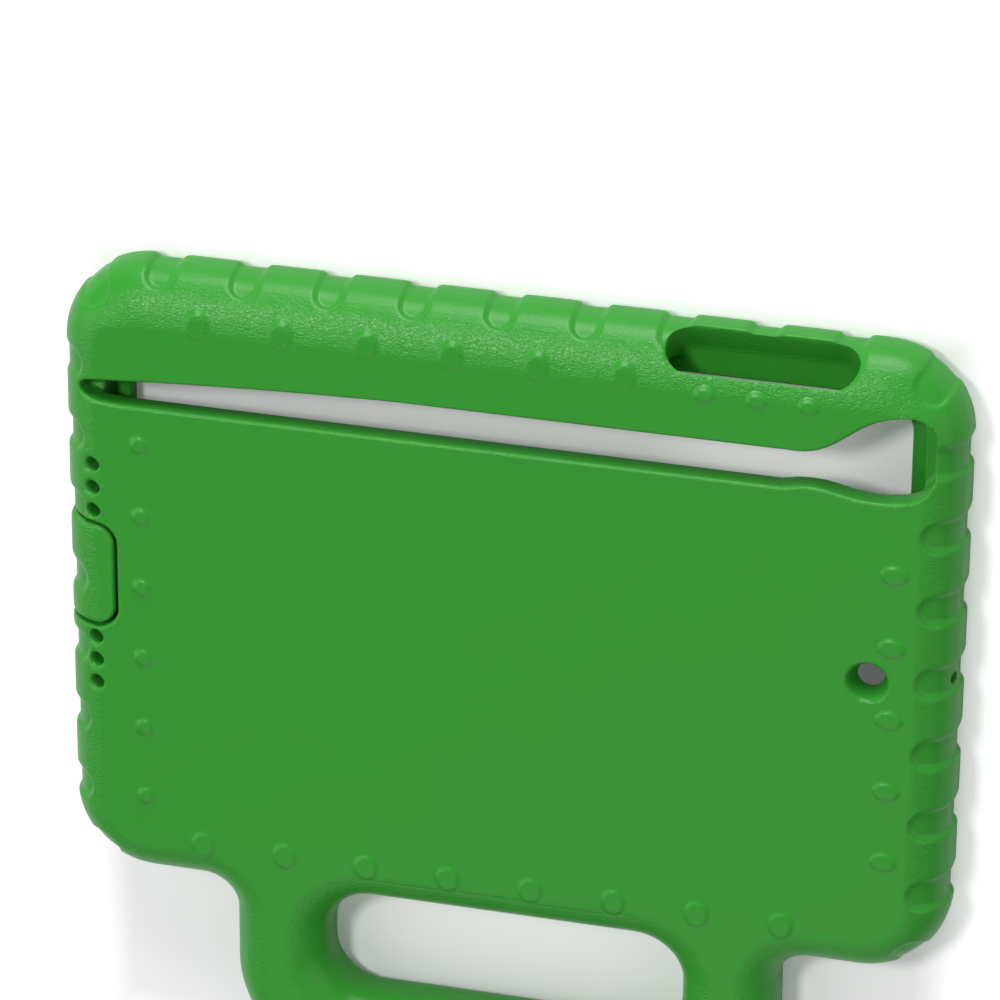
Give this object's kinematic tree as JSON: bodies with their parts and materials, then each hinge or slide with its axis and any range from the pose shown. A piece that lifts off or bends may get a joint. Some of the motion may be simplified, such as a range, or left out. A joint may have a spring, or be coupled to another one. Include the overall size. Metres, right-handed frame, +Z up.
{
  "type": "kids tablet case with handle",
  "caption": "Moulded foam case for a small tablet, with padded edges, a carrying loop, a rear slot with camera window, a volume cut-out and a port flap.",
  "frame": {"origin": "under the middle of the whole outline, handle included, on the plane of the front rim that the case lies on", "axes": "+X along the case's long side towards the camera window, +Y away from the handle towards the volume cut-out, +Z up out of the back panel"},
  "size_m": [0.221, 0.2164, 0.0194],
  "materials": {
    "shell_foam": "satin moulded foam with a fine leathery skin, mid green",
    "flap_foam": "satin moulded foam with a fine leathery skin, mid green"
  },
  "bodies": {
    "shell": {"foam_shell": "shell_foam"},
    "flap": {"port_flap": "flap_foam"}
  },
  "joints": [
    {"name": "port_flap_hinge", "type": "hinge", "parent": "shell", "child": "flap", "pos_m": [-0.1096, 0.0271, 0.00215], "axis": [0, -1, 0], "range_deg": [0, 90]}
  ]
}
